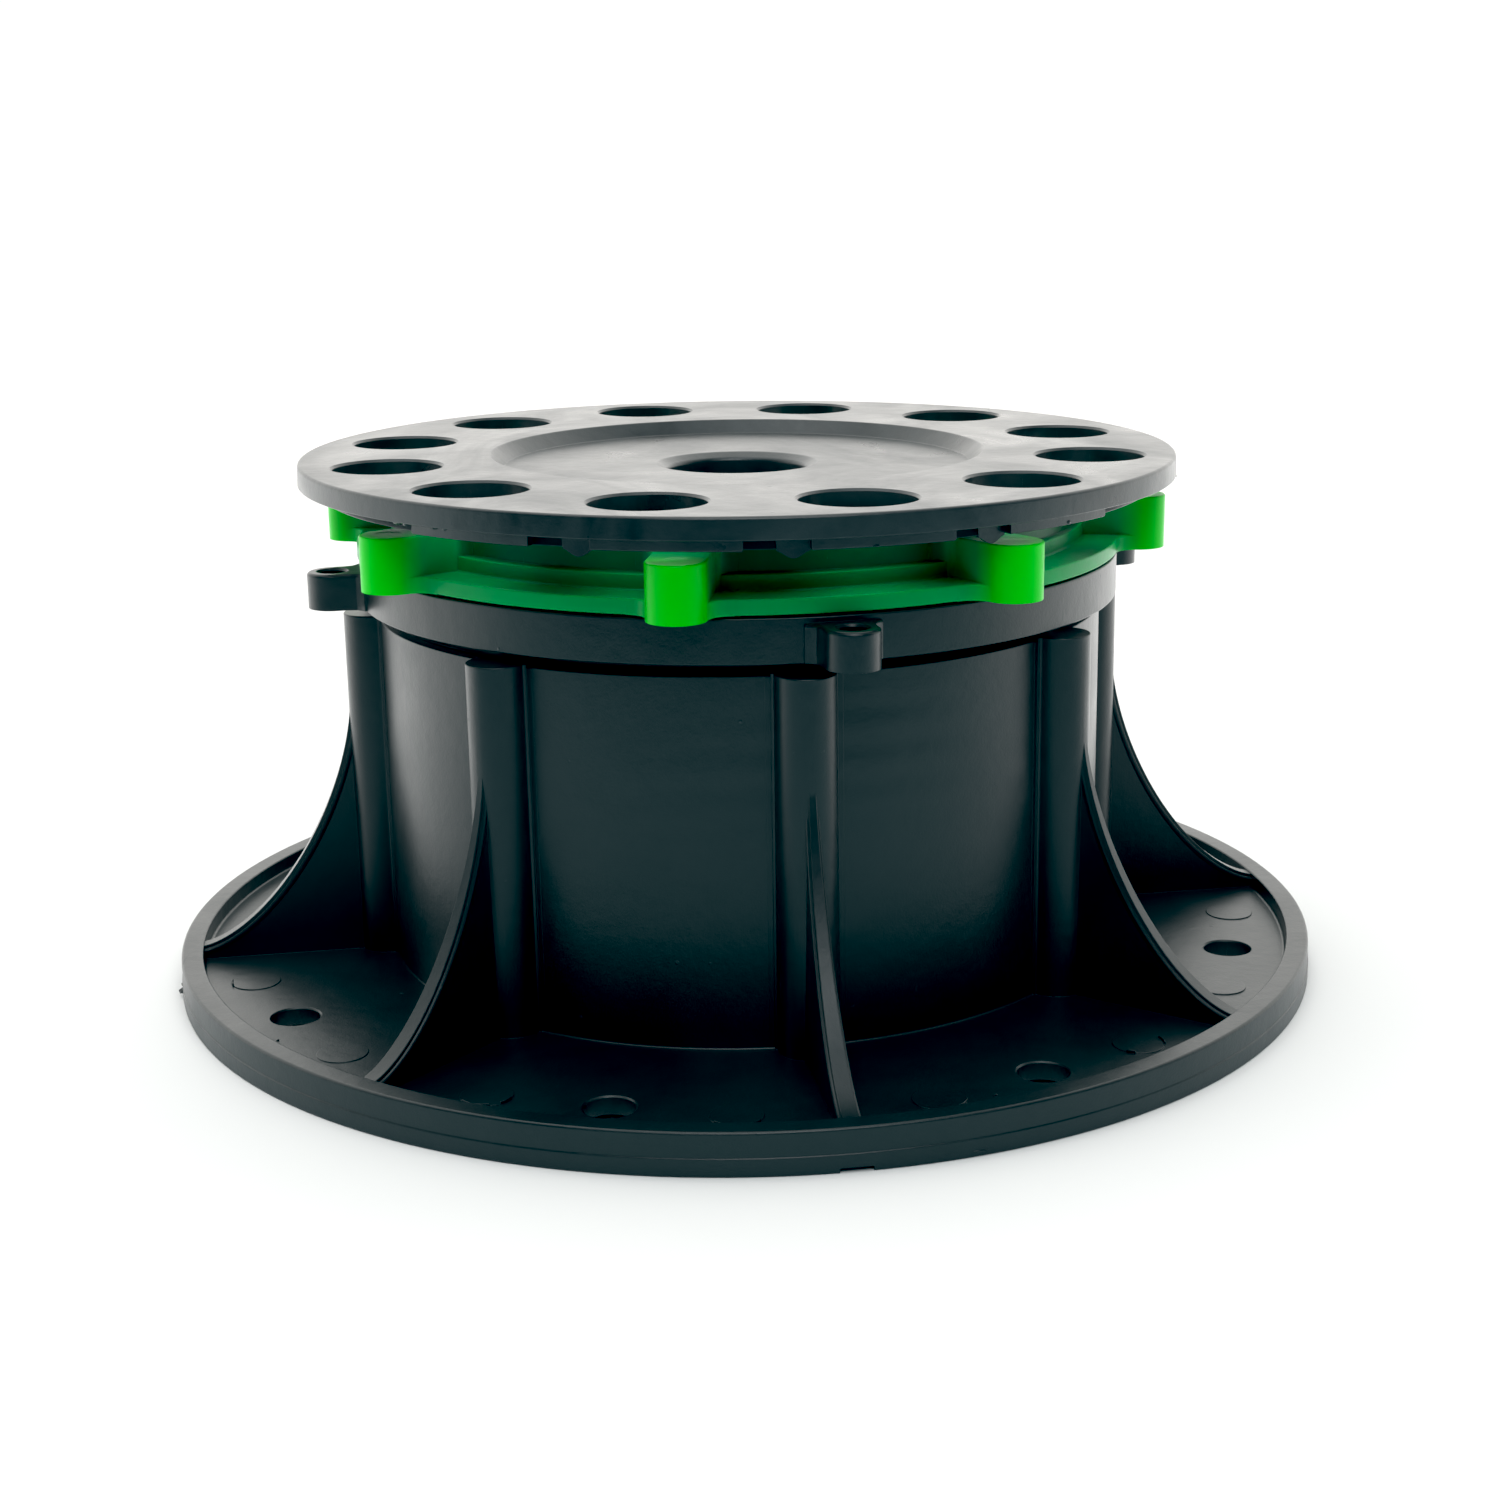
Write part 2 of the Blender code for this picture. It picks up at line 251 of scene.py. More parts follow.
# ---------------------------------------------------------------- base
COL_PHASE = -81.2
COLS = 8
BASE_BURRS = ((-166.4, 100.55, 1.0, 0.75, 0.8, 0.55), (-167.6, 100.5, 1.5, 0.35, 0.7, 0.3),
              (-70.6, 100.45, 0.9, 0.3, 1.4, 0.25), (-101.8, 95.9, 4.3, 0.4, 0.3, 0.2),
              (-143.5, 93.4, 4.3, 0.25, 0.3, 0.2), (-66.0, 90.6, 4.3, 0.22, 0.3, 0.2))
FLASH = ((-116.3, ((-30.0, 38.0), (62.0, 96.0))), (-91.1, ((-52.0, -20.0), (24.0, 58.0))),
         (-71.3, ((18.0, 70.0),)), (-46.1, ((40.0, 76.0), (-80.0, -60.0))), (-161.3, ((-20.0, 10.0),)))


def column_outline():
    """Half-round column along +X with small concave flanks where it meets the wall."""
    pcr, rad, wall, flare = 64.2, 4.73, 62.0, 0.4
    side = [(wall, -5.3)]
    for i in range(5):
        t = math.radians(90.0 * i / 4)
        side.append((63.0 + flare * (1 - math.cos(t)), -(rad + flare * (1 - math.sin(t)))))
    for a in range(0, 91, 9):
        side.append((pcr + rad * math.sin(math.radians(a)), -rad * math.cos(math.radians(a))))
    return side + [(x, -y) for x, y in reversed(side[:-1])]


def rib_curve(depth=0.0):
    """Concave outer edge of a gusset rib as (r, z), moved inwards by depth."""
    r0, z0, r1, z1 = 68.78, 49.5, 97.3, 6.5
    power = 1.59
    steps = 40
    pts = []
    for i in range(steps + 1):
        t = math.radians(90.0) * i / steps
        u = 1.0 - max(0.0, math.cos(t)) ** (2.0 / power)
        v = 1.0 - math.sin(t) ** (2.0 / power)
        pts.append(Vector((r0 + (r1 - r0) * u, z1 + (z0 - z1) * v)))
    out = []
    for i, p in enumerate(pts):
        a, b = pts[max(0, i - 1)], pts[min(steps, i + 1)]
        d = (b - a).normalized()
        n = Vector((d.y, -d.x))
        if n.x > 0:
            n = -n
        out.append(p + n * depth)
    return out


def add_rib(bm, deg):
    """Gusset with a crisp flat edge and a fine parting bead along both sides of it."""
    section = [(1.55, 0.0), (1.3, 0.17), (0.9, 0.2), (0.66, 0.06), (0.55, -0.2), (0.1, -0.24), (0.0, -0.33)]
    curves = {d: rib_curve(d) for d, _ in section}
    c, s = polar(1.0, deg)
    half = lambda z: (3.2 + (1.5 - 3.2) * (z - 4.2) / (49.5 - 4.2)) / 2.0

    def point(r, z, side, extra):
        t = side * (half(z) + extra)
        return bm.verts.new(((r * c - t * s) * MM, (r * s + t * c) * MM, z * MM))

    rows = []
    order = [(d, e, -1) for d, e in section] + [(d, e, 1) for d, e in reversed(section)]
    for d, e, side in order:
        rows.append([point(p.x, p.y, side, e) for p in curves[d]])
    for a, b in zip(rows[:-1], rows[1:]):
        for i in range(len(a) - 1):
            bm.faces.new((a[i], a[i + 1], b[i + 1], b[i]))
    inner = [(97.4, 3.7), (62.1, 3.7), (62.1, 50.8), (68.0, 50.8)]
    ends = []
    for row, side in ((rows[0], -1), (rows[-1], 1)):
        tail = [point(r, z, side, 0.0) for r, z in inner]
        bm.faces.new(row + tail)
        ends.append(tail)
    a, b = ends
    for i in range(len(inner) - 1):
        bm.faces.new((a[i], a[i + 1], b[i + 1], b[i]))
    bm.faces.new([r[-1] for r in rows] + [b[0], a[0]])
    bm.faces.new([r[0] for r in reversed(rows)] + [a[-1], b[-1]])


def make_base():
    body = turned("base_body", rounded([
        (100.6, 0.0, 0.35), (100.6, 2.8, 0.15), (100.46, 3.0, 0.1), (100.4, 6.9, 0.5),
        (96.7, 6.9, 0.3), (96.6, 4.2, 0.5), (63.0, 4.2, 0.35), (62.95, 64.3, 0.2),
        (59.8, 64.3, 0.3), (59.8, 3.2), (20.0, 3.2, 0.4), (20.0, 0.0, 0.3), (24.0, 0.0, 0.2),
        (24.0, 1.2, 0.3), (56.0, 1.2, 0.3), (56.0, 0.0, 0.2), (68.0, 0.0, 0.2), (68.0, 1.2, 0.3),
        (94.0, 1.2, 0.3), (94.0, 0.0, 0.2)]))
    pads = [turn(sector(62.0, 63.02, -5.5, 5.5, 6), COL_PHASE + 45.0 * k) for k in range(COLS)]
    combine(body, bosses("pads", pads, 3.7, 64.15, edge=0.06, steps=2), "UNION")
    cols = [turn(column_outline(), COL_PHASE + 45.0 * k) for k in range(COLS)]
    combine(body, bosses("columns", cols, 3.7, 64.8, edge=0.22, draft=0.12), "UNION")
    bm = bmesh.new()
    for k in range(COLS):
        add_rib(bm, COL_PHASE + 45.0 * k)
    combine(body, object_from(bm, "ribs"), "UNION")
    pins = []
    for k in range(COLS):
        for off in (-12.6, 12.6):
            cx, cy = polar(88.5, COL_PHASE + 22.5 + 45.0 * k + off)
            pins.append(disc(cx, cy, 4.1, 40))
    combine(body, bosses("pin_pads", pins, 3.6, 4.38, edge=0.1, steps=2), "UNION")
    # torn flash standing round parts of some ejector pads
    flash = []
    for place, spans in FLASH:
        cx, cy = polar(88.5, place)
        for a0, a1 in spans:
            arc = sector(3.98, 4.2, a0, a1, 8)
            flash.append([(cx + x, cy + y) for x, y in turn(arc, place)])
    combine(body, bosses("flash", flash, 4.0, 4.72, edge=0.05, steps=1), "UNION")
    bore = turned("bore", [(60.6, 3.2), (60.6, 63.6), (61.3, 64.4), (61.3, 70.0), (0.01, 70.0), (0.01, 3.2)])
    combine(body, bore, "DIFFERENCE")
    combine(body, burrs("base_burrs", BASE_BURRS), "UNION")
    bm = bmesh.new()
    for k in range(COLS):
        c = polar(86.7, COL_PHASE + 22.5 + 45.0 * k)
        add_turned(bm, [(0.01, -1.0), (4.0, -1.0), (4.0, 3.95), (4.3, 4.25), (4.6, 6.0), (0.01, 6.0)], 48, c)
    combine(body, object_from(bm, "drains"), "DIFFERENCE")
    bm = bmesh.new()
    for k in range(4):
        bar = turn([(93.0, -2.5), (106.0, -2.5), (106.0, 2.5), (93.0, 2.5)], COL_PHASE + 90.0 * k)
        add_boss(bm, bar, -1.0, 0.8, edge=0.2, steps=2)
    combine(body, object_from(bm, "notches"), "DIFFERENCE")
    return finish_mesh(body)


# ---------------------------------------------------------------- sleeve
def make_sleeve():
    body = turned("sleeve_body", rounded([
        (59.6, 8.0, 0.5), (59.6, 66.5), (65.8, 66.5, 0.3), (65.75, 73.75, 0.35),
        (52.6, 73.75, 0.3), (52.6, 70.4, 0.3), (56.4, 70.4, 0.3), (56.4, 8.0, 0.3)]))
    lug = [(63.8, -6.2), (65.9, -6.1), (66.3, -5.4), (67.0, -4.6), (68.4, -4.27)]
    lug += [(70.5 + 4.25 * math.sin(math.radians(a)), -4.25 * math.cos(math.radians(a)))
            for a in range(0, 181, 9)]
    lug += [(68.4, 4.27), (67.0, 4.6), (66.3, 5.4), (65.9, 6.1), (63.8, 6.2)]
    lugs = [turn(lug, -76.3 + 90.0 * k) for k in range(4)]
    combine(body, bosses("sleeve_lugs", lugs, 66.7, 72.8, edge=0.6, steps=4), "UNION")
    bm = bmesh.new()
    for k in range(4):
        c = polar(70.5, -76.3 + 90.0 * k)
        add_turned(bm, [(0.01, 68.2), (2.3, 68.2), (2.4, 72.4), (2.75, 72.85), (2.9, 74.0), (0.01, 74.0)], 40, c)
    combine(body, object_from(bm, "lug_holes"), "DIFFERENCE")
    combine(body, thread("sleeve_thread", 59.6, 60.2, 11.0, 63.5, 6.0, 2.6, 1.4), "UNION")
    return finish_mesh(body)


# ---------------------------------------------------------------- adjusting ring
def ring_lug(neck, flare, base, steps=6):
    pts = []
    for i in range(steps + 1):
        t = math.radians(90.0 * i / steps)
        pts.append((base + flare * (1 - math.cos(t)), -(neck + flare * (1 - math.sin(t)))))
    half = [(69.1 + 4.63 * math.sin(math.radians(a)), -4.63 * math.cos(math.radians(a)))
            for a in range(0, 91, 9)]
    side = pts + half
    inner = base - 1.6
    return [(inner, side[0][1])] + side + [(x, -y) for x, y in reversed(side[:-1])] + [(inner, -side[0][1])]


def make_ring():
    body = turned("ring_body", rounded([
        (66.0, 74.15, 0.3), (66.0, 76.7, 0.3), (60.05, 76.75, 0.4), (60.0, 79.2, 0.2),
        (58.85, 79.45, 0.25), (58.8, 86.2, 0.25), (56.4, 86.2, 0.25), (56.4, 77.6, 0.4),
        (54.0, 77.6, 0.4), (54.0, 84.4, 0.25), (51.6, 84.4, 0.4), (51.6, 74.15, 0.4)]))
    tall = [turn(ring_lug(4.63, 3.2, 58.4), -97.7 + 45.0 * k) for k in range(8)]
    combine(body, bosses("tall_lugs", tall, 74.15, 83.1, edge=0.35, steps=3), "UNION")
    foot = [turn(ring_lug(4.63, 3.6, 65.5), -97.7 + 45.0 * k) for k in range(8)]
    combine(body, bosses("lug_feet", foot, 74.15, 76.7, edge=0.3, steps=3), "UNION")
    bm = bmesh.new()
    for k in range(8):
        # shallow ejector dimple on each lug
        c = polar(69.1, -97.7 + 45.0 * k)
        add_turned(bm, [(0.01, 83.0), (2.2, 83.0), (2.6, 83.2), (0.01, 83.2)], 36, c)
    combine(body, object_from(bm, "dimples"), "DIFFERENCE")
    return finish_mesh(body)


# ---------------------------------------------------------------- head
HEAD_BURRS = ((-133.8, 74.6, 86.85, 0.5, 1.0, 0.4), (-132.3, 74.7, 86.8, 0.35, 0.6, 0.3),
              (-127.3, 74.7, 86.85, 0.4, 0.5, 0.3), (-125.8, 74.7, 86.85, 0.35, 0.45, 0.25),
              (-161.9, 74.8, 86.9, 0.32, 0.9, 0.4), (-168.9, 74.85, 86.8, 0.28, 1.2, 0.4),
              (-172.0, 74.8, 86.85, 0.28, 1.0, 0.3), (-10.9, 74.95, 86.85, 0.5, 0.6, 0.4),
              (-46.0, 72.6, 85.3, 0.3, 0.5, 0.3), (-74.0, 72.6, 85.1, 0.2, 0.6, 0.2),
              (-120.4, 71.9, 84.95, 0.3, 0.8, 0.18), (-99.0, 71.9, 84.95, 0.25, 0.5, 0.15))


SKIRT = (-1, 0, 1, 2, 6, 7, 8, 9)      # places of the skirt segments, of 14 round the edge
TEETH = (0, 1, 2, 7, 8, 9)


def make_head():
    body = turned("head_body", rounded([
        (75.35, 86.9, 0.2), (75.2, 90.46, 0.55), (42.6, 90.46, 0.5), (40.3, 88.1, 0.5),
        (13.9, 88.1, 1.2), (11.9, 87.1, 0.9), (11.7, 82.5, 0.3), (13.6, 82.5, 0.3), (13.6, 85.3, 0.4),
        (48.6, 85.3, 0.5), (48.6, 14.0, 0.3), (50.7, 14.0, 0.4), (50.7, 87.7, 0.5),
        (68.6, 87.7, 0.2), (70.3, 84.95, 0.1), (71.2, 84.95, 0.1), (69.9, 87.7, 0.1),
        (71.3, 87.7, 0.2), (71.35, 86.9, 0.15)]))
    segs = [turn(sector(70.3, 72.7, 0.0, 17.85, 10), -107.35 + 360.0 * k / 14) for k in SKIRT]
    seg_bm = bmesh.new()
    for seg in segs:
        add_loft(seg_bm, [[(x, y, 88.1) for x, y in seg], [(x, y, 85.15) for x, y in seg],
                          [(x, y, 84.98) for x, y in inset(seg, 0.06)], [(x, y, 84.9) for x, y in inset(seg, 0.22)]])
    combine(body, object_from(seg_bm, "skirt"), "UNION")
    bm = bmesh.new()
    for k in TEETH:
        # hanging V tooth in the gap beside the start of a segment
        a = -107.35 - 1.9 + 360.0 * k / 14
        faces = []
        shape = [(-2.2, 88.1), (2.2, 88.1), (2.0, 84.7), (1.5, 84.45), (0.9, 83.95), (0.45, 83.65),
                 (0.0, 83.55), (-0.45, 83.65), (-0.9, 83.95), (-1.5, 84.45), (-2.0, 84.7)]
        for r in (70.45, 71.15):
            faces.append([polar(r, a + da) + (z,) for da, z in shape])
        add_loft(bm, faces)
    combine(body, object_from(bm, "teeth"), "UNION")
    bm = bmesh.new()
    for k in range(12):
        c = polar(60.9, 17.2 + 30.0 * k)
        add_turned(bm, rounded([(0.01, 86.0), (9.05, 86.0), (9.1, 90.06), (9.5, 90.46), (9.9, 92.0), (0.01, 92.0)]), 72, c)
    combine(body, object_from(bm, "holes"), "DIFFERENCE")
    combine(body, burrs("head_burrs", HEAD_BURRS, 9), "UNION")
    combine(body, thread("stem_thread", 50.7, 51.3, 17.0, 83.2, 6.0, 2.6, 1.4), "UNION")
    return finish_mesh(body)


# ---------------------------------------------------------------- materials
def node(tree, kind, **values):
    n = tree.nodes.new(kind)
    for key, value in values.items():
        if key in n.inputs:
            n.inputs[key].default_value = value
        else:
            setattr(n, key, value)
    return n


def ramp(tree, source, stops):
    r = tree.nodes.new("ShaderNodeValToRGB")
    r.color_ramp.elements[0].position = stops[0][0]
    r.color_ramp.elements[0].color = (*[stops[0][1]] * 3, 1.0)
    r.color_ramp.elements[1].position = stops[-1][0]
    r.color_ramp.elements[1].color = (*[stops[-1][1]] * 3, 1.0)
    for pos, val in stops[1:-1]:
        e = r.color_ramp.elements.new(pos)
        e.color = (*[val] * 3, 1.0)
    tree.links.new(source, r.inputs["Fac"])
    return r.outputs["Color"]


def math_node(tree, op, a, b=None, clamp=False):
    m = tree.nodes.new("ShaderNodeMath")
    m.operation = op
    m.use_clamp = clamp
    for i, v in enumerate((a, b)):
        if v is None:
            continue
        if isinstance(v, (int, float)):
            m.inputs[i].default_value = v
        else:
            tree.links.new(v, m.inputs[i])
    return m.outputs[0]


def mix_colour(tree, fac, a, b):
    m = tree.nodes.new("ShaderNodeMix")
    m.data_type = "RGBA"
    for sock, v in ((m.inputs["Factor"], fac), (m.inputs[6], a), (m.inputs[7], b)):
        if isinstance(v, (int, float)):
            sock.default_value = v
        elif isinstance(v, tuple):
            sock.default_value = (*v, 1.0)
        else:
            tree.links.new(v, sock)
    return m.outputs[2]


def stretched(tree, coord, scale, rotation=(0.0, 0.0, 0.0)):
    m = tree.nodes.new("ShaderNodeMapping")
    m.inputs["Scale"].default_value = scale
    m.inputs["Rotation"].default_value = rotation
    tree.links.new(coord, m.inputs["Vector"])
    return m.outputs["Vector"]


def radius(tree, coord):
    """Distance from the screw axis, in tenths of a metre."""
    place = node(tree, "ShaderNodeSeparateXYZ")
    tree.links.new(coord, place.inputs["Vector"])
    xx = math_node(tree, "MULTIPLY", place.outputs["X"], place.outputs["X"])
    yy = math_node(tree, "MULTIPLY", place.outputs["Y"], place.outputs["Y"])
    return math_node(tree, "MULTIPLY", math_node(tree, "SQRT", math_node(tree, "ADD", xx, yy)), 10.0)


def plastic(name, dark, light, rough, spec, flow=0.0, dust=0.0, bands=0.0, bevel=0.00013, grain=1.0, outer=()):
    mat = bpy.data.materials.new(name)
    mat.use_nodes = True
    t = mat.node_tree
    bsdf = t.nodes["Principled BSDF"]
    coord = node(t, "ShaderNodeTexCoord").outputs["Object"]

    def noise(scale, detail=3.0, rough_=0.5, distortion=0.0, vector=coord):
        n = node(t, "ShaderNodeTexNoise", Scale=scale, Detail=detail, Roughness=rough_, Distortion=distortion)
        t.links.new(vector, n.inputs["Vector"])
        return n.outputs["Fac"]

    cloud = noise(32.0, 4.0, 0.55, 0.6)
    smear = noise(26.0, 5.0, 0.6, 2.4, stretched(t, coord, (1.2, 0.7, 1.0), (0.0, 0.0, 0.35)))
    fine = noise(2600.0, 2.0, 0.6)
    ripple = noise(420.0, 3.0, 0.55)

    # scratches: two families of long thin noise ridges
    lines = []
    for scale, rot, cut in (((14.0, 900.0, 300.0), (0.2, 0.1, 0.65), 0.745), ((700.0, 18.0, 260.0), (0.1, -0.2, 0.3), 0.755)):
        f = noise(1.0, 2.0, 0.5, 0.3, stretched(t, coord, scale, rot))
        lines.append(ramp(t, f, [(cut, 0.0), (cut + 0.02, 1.0)]))
    patch = ramp(t, noise(48.0, 2.0), [(0.5, 0.0), (0.66, 1.0)])
    scratch = math_node(t, "MULTIPLY", math_node(t, "MAXIMUM", lines[0], lines[1]), patch)

    # specks: sparse tiny cells
    vor = node(t, "ShaderNodeTexVoronoi", Scale=190.0, Randomness=1.0)
    t.links.new(coord, vor.inputs["Vector"])
    near = ramp(t, vor.outputs["Distance"], [(0.045, 1.0), (0.075, 0.0)])
    pick = node(t, "ShaderNodeSeparateColor")
    t.links.new(vor.outputs["Color"], pick.inputs["Color"])
    few = ramp(t, pick.outputs["Red"], [(0.955 - 0.05 * dust, 0.0), (0.96 - 0.05 * dust, 1.0)])
    speck = math_node(t, "MULTIPLY", near, few)

    base = mix_colour(t, ramp(t, cloud, [(0.3, 0.0), (0.7, 1.0)]), dark, light)
    for r0, r1, near_col, far_col in outer:
        # the colour changes outwards from r0 to r1 (mm): painted shade darkens the inner surfaces and painted light
        # brightens the outer ones
        zone = ramp(t, radius(t, coord), [(r0 / 100.0, 0.0), (r1 / 100.0, 1.0)])
        base = mix_colour(t, zone, base, mix_colour(t, ramp(t, cloud, [(0.3, 0.0), (0.7, 1.0)]), near_col, far_col))
    if flow:
        streak = ramp(t, smear, [(0.36, 0.0), (0.5, 0.55), (0.68, 1.0)])
        base = mix_colour(t, math_node(t, "MULTIPLY", streak, flow), base, tuple(min(1.0, c * 1.7 + 0.008) for c in light))
        swirl = ramp(t, noise(13.0, 4.0, 0.6, 3.2), [(0.42, 0.0), (0.52, 0.7), (0.60, 0.25), (0.7, 1.0)])
        base = mix_colour(t, math_node(t, "MULTIPLY", swirl, 0.6 * flow), base, tuple(c * 2.0 + 0.012 for c in light))
    base = mix_colour(t, math_node(t, "MULTIPLY", scratch, 0.35), base, tuple(c * 2.2 + 0.02 for c in light))
    base = mix_colour(t, math_node(t, "MULTIPLY", speck, 0.5), base, tuple(c * 2.2 + 0.02 for c in light))
    t.links.new(base, bsdf.inputs["Base Color"])

    r = math_node(t, "ADD", math_node(t, "MULTIPLY", math_node(t, "SUBTRACT", cloud, 0.5), 0.16), rough)
    r = math_node(t, "ADD", r, math_node(t, "MULTIPLY", math_node(t, "SUBTRACT", smear, 0.5), 0.10 + 0.25 * flow))
    r = math_node(t, "ADD", r, math_node(t, "MULTIPLY", scratch, 0.12))
    t.links.new(r, bsdf.inputs["Roughness"])
    bsdf.inputs["Specular IOR Level"].default_value = spec
    bsdf.inputs["IOR"].default_value = 1.49

    edge = node(t, "ShaderNodeBevel", samples=4, Radius=bevel)
    height = math_node(t, "MULTIPLY", fine, 0.00002 * grain)
    height = math_node(t, "ADD", height, math_node(t, "MULTIPLY", ripple, 0.00005 * grain))
    height = math_node(t, "ADD", height, math_node(t, "MULTIPLY", cloud, 0.00022))
    height = math_node(t, "ADD", height, math_node(t, "MULTIPLY", speck, 0.00005))
    height = math_node(t, "SUBTRACT", height, math_node(t, "MULTIPLY", scratch, 0.00002))
    if bands:
        # faint sink bands where the thread lies behind the wall
        sep = node(t, "ShaderNodeSeparateXYZ")
        t.links.new(coord, sep.inputs["Vector"])
        wave = math_node(t, "SINE", math_node(t, "MULTIPLY", sep.outputs["Z"], 2.0 * math.pi / 0.006))
        zone = ramp(t, sep.outputs["Z"], [(0.034, 0.0), (0.045, 1.0), (0.060, 1.0), (0.063, 0.0)])
        zone = math_node(t, "MULTIPLY", zone, ramp(t, radius(t, coord), [(0.632, 1.0), (0.634, 0.0)]))
        vary = ramp(t, noise(18.0, 2.0), [(0.42, 0.0), (0.6, 1.0)])
        sink = math_node(t, "MULTIPLY", math_node(t, "MULTIPLY", wave, zone), vary)
        height = math_node(t, "ADD", height, math_node(t, "MULTIPLY", sink, bands))
    bump = node(t, "ShaderNodeBump", Strength=1.0, Distance=1.0)
    t.links.new(height, bump.inputs["Height"])
    t.links.new(edge.outputs["Normal"], bump.inputs["Normal"])
    t.links.new(bump.outputs["Normal"], bsdf.inputs["Normal"])
    return mat


# ---------------------------------------------------------------- build the pieces
black_a = ((0.0050, 0.0072, 0.0080), (0.0085, 0.0115, 0.0125))
mat_base = plastic("black_base", *black_a, rough=0.36, spec=0.42, flow=0.10, dust=0.9, bands=0.00003)
mat_sleeve = plastic("black_sleeve", *black_a, rough=0.34, spec=0.42, flow=0.10, dust=0.3)
mat_head = plastic("black_head", *black_a, rough=0.33, spec=0.45, flow=1.0, dust=0.0)
# green ring: painted shade keeps it dark inside 59.2 mm, in the recess under the head, and a mid green from 60.1 mm
# on the mid wall and band. Painted light brightens it from 65.8 mm to the lug fronts beyond 70 mm
mat_green = plastic("green_ring", (0.000, 0.070, 0.018), (0.000, 0.095, 0.026), rough=0.36, spec=0.14,
                    flow=0.0, dust=0.0, grain=0.7,
                    outer=((59.2, 60.1, (0.0, 0.24, 0.060), (0.0, 0.30, 0.072)),
                           (65.8, 70.0, (0.0, 0.50, 0.0), (0.0, 0.57, 0.0))))
g = mat_green.node_tree.nodes["Principled BSDF"]
g.inputs["Subsurface Weight"].default_value = 0.45
g.inputs["Subsurface Radius"].default_value = (0.1, 1.0, 0.25)
g.inputs["Subsurface Scale"].default_value = 0.004

# the screwed-in pieces stand very slightly crooked in the play of the base's thread
LEAN = (Matrix.Translation((0.0, 0.0, 0.070)) @ Matrix.Rotation(math.radians(0.32), 4, "Y")
        @ Matrix.Translation((0.0, 0.0, -0.070)))

PIECES = (("base", make_base, mat_base, "black_plastic"),
          ("sleeve", make_sleeve, mat_sleeve, "black_plastic"),
          ("adjusting_ring", make_ring, mat_green, "green_plastic"),
          ("head", make_head, mat_head, "black_plastic"))
for name, build, mat, slot in PIECES:
    ob = build()
    if name != "base":
        ob.data.transform(LEAN)
    ob.name = name + "_detailed"
    ob.data.materials.clear()
    ob.data.materials.append(mat)
    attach(ob, name)
    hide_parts(name)

# ---------------------------------------------------------------- floor, light, camera
floor_bm = bmesh.new()
for ring in ((0.0, 0.0),):
    pts = [polar(6000.0, 360.0 * k / 64) for k in range(64)]
    floor_bm.faces.new([floor_bm.verts.new((x * MM, y * MM, 0.0)) for x, y in pts])
floor = object_from(floor_bm, "studio_floor")
for p in floor.data.polygons:
    if p.normal.z < 0:
        floor.data.flip_normals()
fm = bpy.data.materials.new("floor_white")
fm.use_nodes = True
ft = fm.node_tree
fb = ft.nodes["Principled BSDF"]
fb.inputs["Roughness"].default_value = 0.75
fb.inputs["Specular IOR Level"].default_value = 0.1
# what the object reflects: a lit sweep at its sides and back, a dim room beyond the sheet in front
fsep = ft.nodes.new("ShaderNodeSeparateXYZ")
ft.links.new(ft.nodes.new("ShaderNodeTexCoord").outputs["Object"], fsep.inputs["Vector"])
fx, fy = fsep.outputs["X"], fsep.outputs["Y"]
fpath = ft.nodes.new("ShaderNodeLightPath").outputs["Is Camera Ray"]
ahead = ramp(ft, math_node(ft, "MULTIPLY", fy, -1.0), [(0.30, 0.0), (0.46, 1.0)])
sheet = mix_colour(ft, ramp(ft, math_node(ft, "MULTIPLY", fy, -1.0), [(0.02, 0.0), (0.12, 1.0)]),
                   (0.87, 0.87, 0.87), (0.66, 0.79, 0.81))
seen_by_object = mix_colour(ft, ahead, sheet, (0.09, 0.12, 0.13))
# the camera sees the floor darker round the object and paler far off: painted shade near the object, and painted
# light far off where the lamps fall off
fdist = math_node(ft, "SQRT", math_node(ft, "ADD", math_node(ft, "MULTIPLY", fx, fx), math_node(ft, "MULTIPLY", fy, fy)))
sweep = mix_colour(ft, ramp(ft, fdist, [(0.14, 0.0), (0.75, 1.0)]), (0.705, 0.722, 0.724), (0.96, 0.96, 0.96))
ft.links.new(mix_colour(ft, fpath, seen_by_object, sweep), fb.inputs["Base Color"])
sides = ramp(ft, math_node(ft, "ADD", fy, math_node(ft, "MULTIPLY", math_node(ft, "ABSOLUTE", fx), 0.55)),
             [(0.02, 0.0), (0.22, 1.0)])
unseen = math_node(ft, "SUBTRACT", 1.0, fpath)
fb.inputs["Emission Color"].default_value = (1.0, 1.0, 0.98, 1.0)
ft.links.new(math_node(ft, "MULTIPLY", math_node(ft, "MULTIPLY", sides, unseen), 1.1), fb.inputs["Emission Strength"])
floor.data.materials.append(fm)

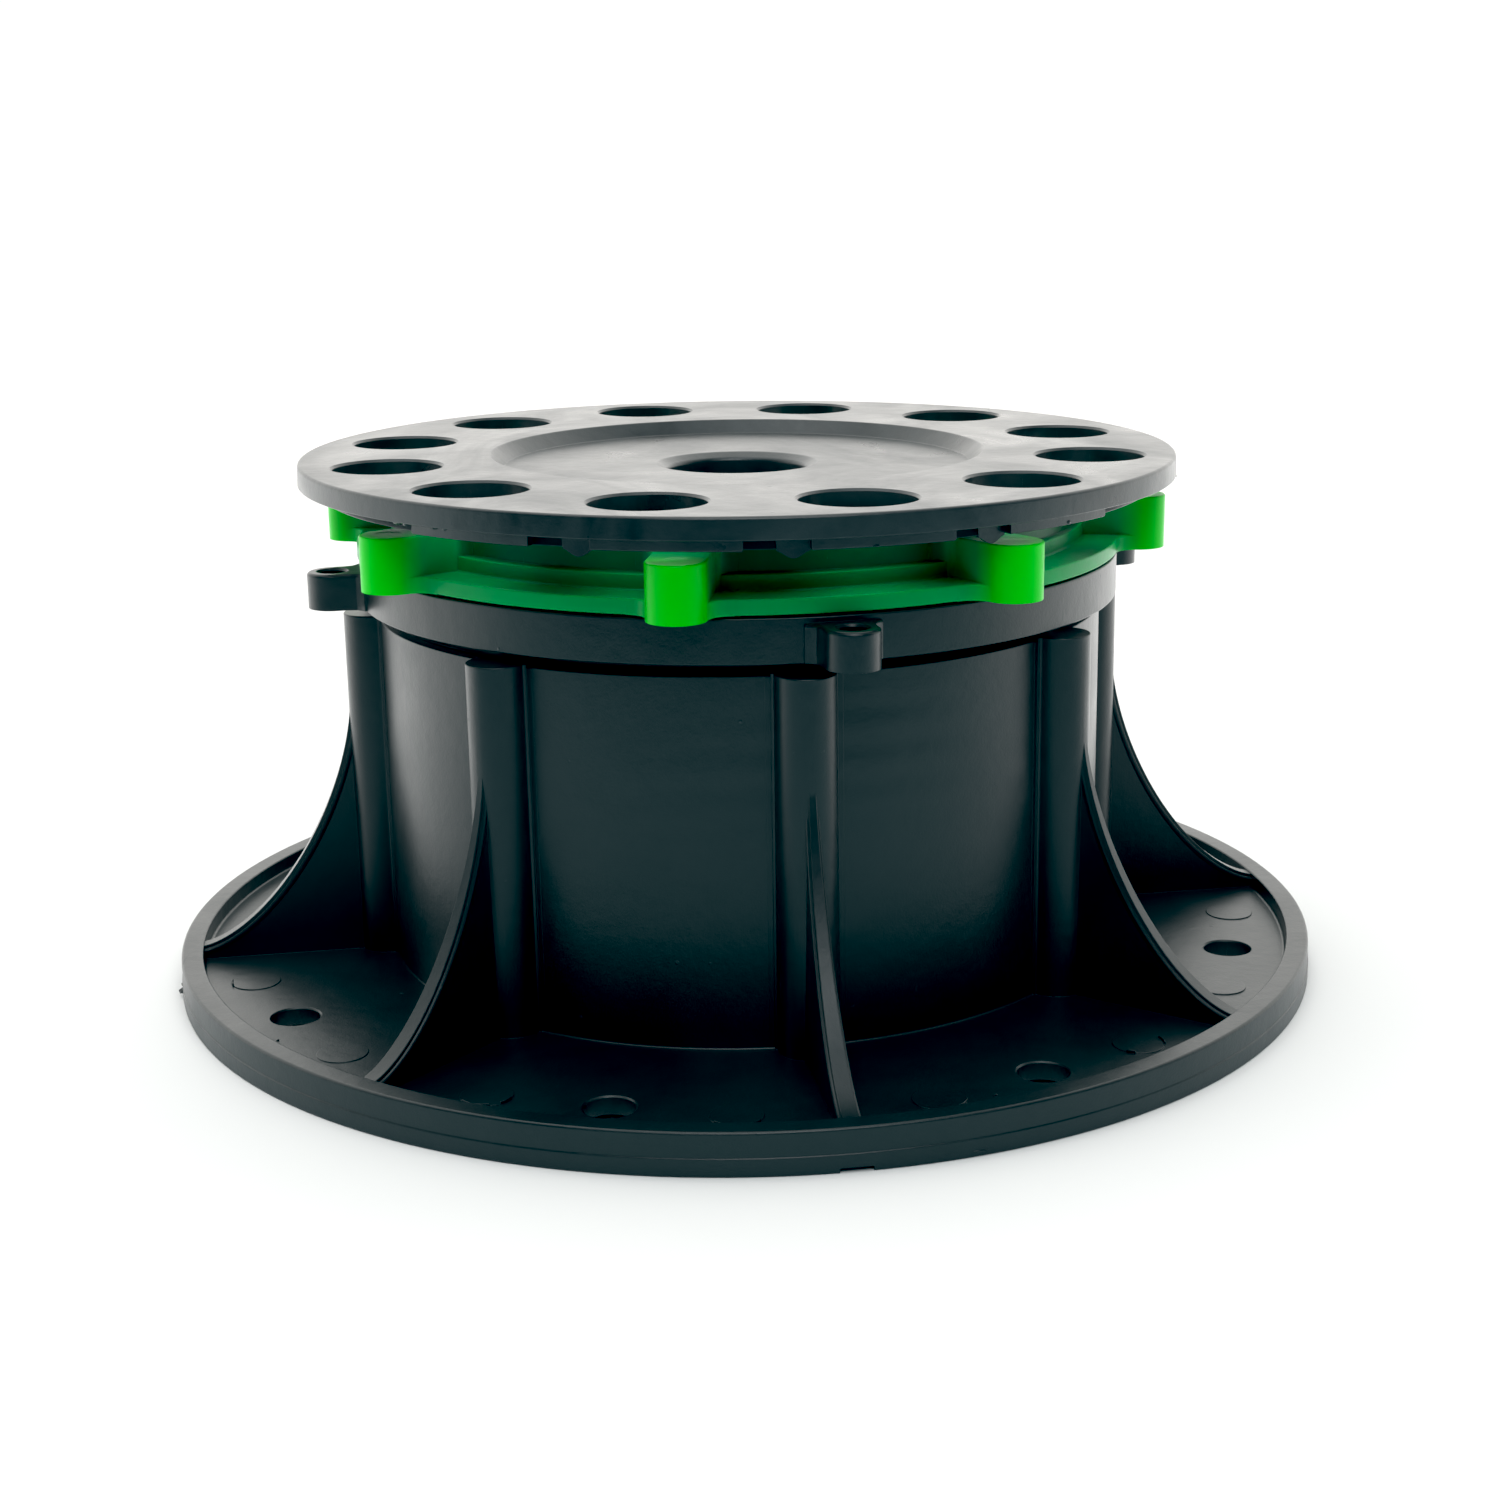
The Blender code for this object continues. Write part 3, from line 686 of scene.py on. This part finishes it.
world = bpy.data.worlds.new("studio")
bpy.context.scene.world = world
world.use_nodes = True
wt = world.node_tree
wt.nodes.clear()
wout = wt.nodes.new("ShaderNodeOutputWorld")
wbg = wt.nodes.new("ShaderNodeBackground")
wcoord = wt.nodes.new("ShaderNodeTexCoord")
wsep = wt.nodes.new("ShaderNodeSeparateXYZ")
wt.links.new(wcoord.outputs["Generated"], wsep.inputs["Vector"])
side = math_node(wt, "ADD", wsep.outputs["Y"], math_node(wt, "MULTIPLY", wsep.outputs["X"], -0.12))
glow = ramp(wt, math_node(wt, "ADD", math_node(wt, "MULTIPLY", side, 0.5), 0.5), [(0.36, 0.0), (0.66, 1.0)])
sky = mix_colour(wt, glow, (0.05, 0.075, 0.085), (2.15, 2.1, 2.02))
path = wt.nodes.new("ShaderNodeLightPath")
seen = mix_colour(wt, path.outputs["Is Camera Ray"], sky, (1.05, 1.05, 1.05))
wt.links.new(seen, wbg.inputs["Color"])
wt.links.new(wbg.outputs["Background"], wout.inputs["Surface"])


def area_light(name, place, target, size, power, colour=(1.0, 1.0, 1.0)):
    data = bpy.data.lights.new(name, "AREA")
    data.shape = "RECTANGLE"
    data.size, data.size_y = size
    data.energy = power
    data.color = colour
    ob = bpy.data.objects.new(name, data)
    bpy.context.scene.collection.objects.link(ob)
    ob.location = place
    ob.rotation_euler = (Vector(target) - Vector(place)).to_track_quat("-Z", "Y").to_euler()
    return ob


area_light("top_softbox", (-0.15, -0.25, 1.1), (0.0, 0.0, 0.05), (1.0, 0.8), 4.6)
area_light("front_high", (0.12, -0.80, 0.88), (0.0, 0.0, 0.07), (0.8, 0.5), 6.2)

cam_data = bpy.data.cameras.new("camera")
cam_data.sensor_fit = "HORIZONTAL"
cam_data.sensor_width = 36.0
cam_data.lens = 55.525
cam_data.clip_start = 0.01
cam_data.clip_end = 50.0
cam = bpy.data.objects.new("camera", cam_data)
bpy.context.scene.collection.objects.link(cam)
yaw, pitch, roll = (math.radians(v) for v in (0.215, 14.842, -1.004))
fwd = Vector((math.sin(yaw) * math.cos(pitch), math.cos(yaw) * math.cos(pitch), -math.sin(pitch)))
right = Vector((math.cos(yaw), -math.sin(yaw), 0.0))
up = right.cross(fwd)
r2 = math.cos(roll) * right + math.sin(roll) * up
u2 = -math.sin(roll) * right + math.cos(roll) * up
m = cam.matrix_world.copy()
for i in range(3):
    m[i][0], m[i][1], m[i][2] = r2[i], u2[i], -fwd[i]
m[0][3], m[1][3], m[2][3] = 0.0, -0.4022, 0.142729
cam.matrix_world = m
bpy.context.scene.camera = cam

view = bpy.context.scene.view_settings
view.view_transform = "Standard"
view.look = "None"
view.use_curve_mapping = True
view.curve_mapping.black_level = (0.0185, 0.0085, 0.0058)
view.curve_mapping.update()
